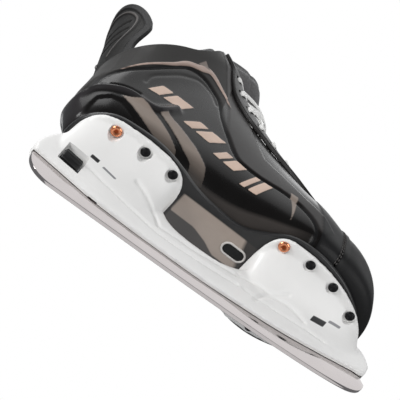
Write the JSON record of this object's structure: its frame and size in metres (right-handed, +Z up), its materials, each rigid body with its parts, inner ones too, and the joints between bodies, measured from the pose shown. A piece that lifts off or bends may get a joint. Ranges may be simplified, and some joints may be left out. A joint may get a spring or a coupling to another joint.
{
  "type": "ice hockey skate",
  "caption": "Right-foot ice hockey skate: laced composite boot riveted to a moulded blade holder with a steel runner held by a dial lock.",
  "frame": {"origin": "middle of the flat of the steel runner's lower edge, where it meets the ice", "axes": "+X towards the toe, +Y towards the inner side of the foot, +Z up"},
  "size_m": [0.2902, 0.0965, 0.2931],
  "materials": {
    "rivet": "black plated",
    "facing": "smooth synthetic leather",
    "pad": "padded nylon felt",
    "holder": "satin moulded nylon",
    "lace": "waxed woven lace",
    "lining": "brushed knit lining",
    "lock": "moulded plastic",
    "jaw": "machined steel",
    "outsole": "moulded composite with a woven patch",
    "shell": "glossy moulded composite",
    "copper": "copper-plated",
    "steel": "mirror-polished stainless steel",
    "cap": "matte moulded plastic",
    "vent": "moulded trim"
  },
  "bodies": {
    "boot_and_holder": {"eyelet_inner_1": "rivet", "eyelet_inner_10": "rivet", "eyelet_inner_2": "rivet", "eyelet_inner_3": "rivet", "eyelet_inner_4": "rivet", "eyelet_inner_5": "rivet", "eyelet_inner_6": "rivet", "eyelet_inner_7": "rivet", "eyelet_inner_8": "rivet", "eyelet_inner_9": "rivet", "eyelet_outer_1": "rivet", "eyelet_outer_10": "rivet", "eyelet_outer_2": "rivet", "eyelet_outer_3": "rivet", "eyelet_outer_4": "rivet", "eyelet_outer_5": "rivet", "eyelet_outer_6": "rivet", "eyelet_outer_7": "rivet", "eyelet_outer_8": "rivet", "eyelet_outer_9": "rivet", "facing_inner": "facing", "facing_outer": "facing", "footbed": "pad", "holder": "holder", "lace": "lace", "liner": "lining", "outsole": "outsole", "quarter_shell": "shell", "rivet_front_inner_1": "copper", "rivet_front_inner_2": "rivet", "rivet_front_inner_3": "rivet", "rivet_front_inner_4": "rivet", "rivet_front_outer_1": "copper", "rivet_front_outer_2": "rivet", "rivet_front_outer_3": "rivet", "rivet_front_outer_4": "rivet", "rivet_rear_inner_1": "copper", "rivet_rear_inner_2": "rivet", "rivet_rear_inner_3": "rivet", "rivet_rear_outer_1": "copper", "rivet_rear_outer_2": "rivet", "rivet_rear_outer_3": "rivet", "toe_cap": "cap", "tongue": "pad", "vent_ring": "vent"},
    "guard": {"tendon_guard": "cap"},
    "tongue_flap": {"tongue_top": "pad"},
    "dial": {"lock_dial": "lock"},
    "jaw": {"lock_jaw": "jaw"},
    "steel": {"runner": "steel"}
  },
  "joints": [
    {"name": "guard_flex", "type": "hinge", "parent": "boot_and_holder", "child": "guard", "pos_m": [-0.109, 0, 0.1826], "axis": [0, -1, 0], "range_deg": [0, 25], "stiffness_Nm_per_rad": 0.8},
    {"name": "tongue_flex", "type": "hinge", "parent": "boot_and_holder", "child": "tongue_flap", "pos_m": [0.0263, 0, 0.26], "axis": [0, 1, 0], "range_deg": [0, 35], "stiffness_Nm_per_rad": 0.5},
    {"name": "lock_turn", "type": "hinge", "parent": "boot_and_holder", "child": "dial", "pos_m": [-0.1156, 0, 0.0406], "axis": [0.9715, 0, -0.2368], "range_deg": [0, 540]},
    {"name": "jaw_slide", "type": "slide", "parent": "boot_and_holder", "child": "jaw", "axis": [-0.9715, 0, 0.2368], "range_m": [0, 0.006]},
    {"name": "runner_drop", "type": "hinge", "parent": "boot_and_holder", "child": "steel", "pos_m": [0.14, 0, 0.03], "axis": [0, -1, 0], "range_deg": [0, 1.45]}
  ],
  "couplings": [
    {"joint": "lock_turn", "follows": "runner_drop", "ratio": 372},
    {"joint": "jaw_slide", "follows": "runner_drop", "m_per_rad": 0.2367}
  ]
}
